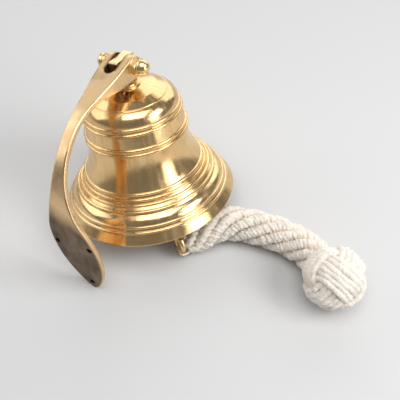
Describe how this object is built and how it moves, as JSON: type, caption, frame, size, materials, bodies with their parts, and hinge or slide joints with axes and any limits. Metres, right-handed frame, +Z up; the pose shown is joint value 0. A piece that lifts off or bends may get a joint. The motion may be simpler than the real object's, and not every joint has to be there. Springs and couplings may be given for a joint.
{
  "type": "ship bell",
  "caption": "Flared brass ship bell on a swan-neck wall bracket, with a hanging clapper and a plaited rope lanyard that ends in a ball knot.",
  "frame": {"origin": "centre of the metal parts' footprint, on the table that the bell rests on", "axes": "+Z up from the table, -Y towards the wall plate's side, +X towards the lanyard"},
  "size_m": [0.2544, 0.1944, 0.1518],
  "materials": {
    "brass_polished": "polished, turned",
    "brass_satin": "satin, lightly tarnished on the wall face",
    "brass_inner": "as machined, dull",
    "cotton": "plaited cotton cord, undyed"
  },
  "bodies": {
    "bell": {"bell_shell": "brass_polished", "crown_collar": "brass_polished", "crown_lug": "brass_polished", "inner_washer": "brass_inner", "inner_nut": "brass_inner", "hanger_eye": "brass_inner"},
    "bracket": {"wall_bracket": "brass_satin", "pivot_bolt": "brass_polished", "bolt_washer": "brass_polished", "jam_nut": "brass_polished", "acorn_nut": "brass_polished"},
    "clapper": {"clapper_rod": "brass_polished", "clapper_ball": "brass_polished"},
    "lanyard": {"lanyard_loop": "cotton", "lanyard_rope": "cotton", "ball_knot": "cotton"}
  },
  "joints": [
    {"name": "bracket_pivot", "type": "hinge", "parent": "bell", "child": "bracket", "pos_m": [-0.01532, 0.04158, 0.14095], "axis": [-0.8533, 0.4678, -0.2304], "range_deg": [-8, 180]},
    {"name": "clapper_swing", "type": "hinge", "parent": "bell", "child": "clapper", "pos_m": [-0.00924, 0.02934, 0.09358], "axis": [0.885, 0.4655, -0.0068], "range_deg": [0, 62]},
    {"name": "lanyard_swing", "type": "hinge", "parent": "clapper", "child": "lanyard", "pos_m": [0.02988, -0.04627, 0.00844], "axis": [-0.3335, 0.6236, -0.707], "range_deg": [0, 95]}
  ]
}
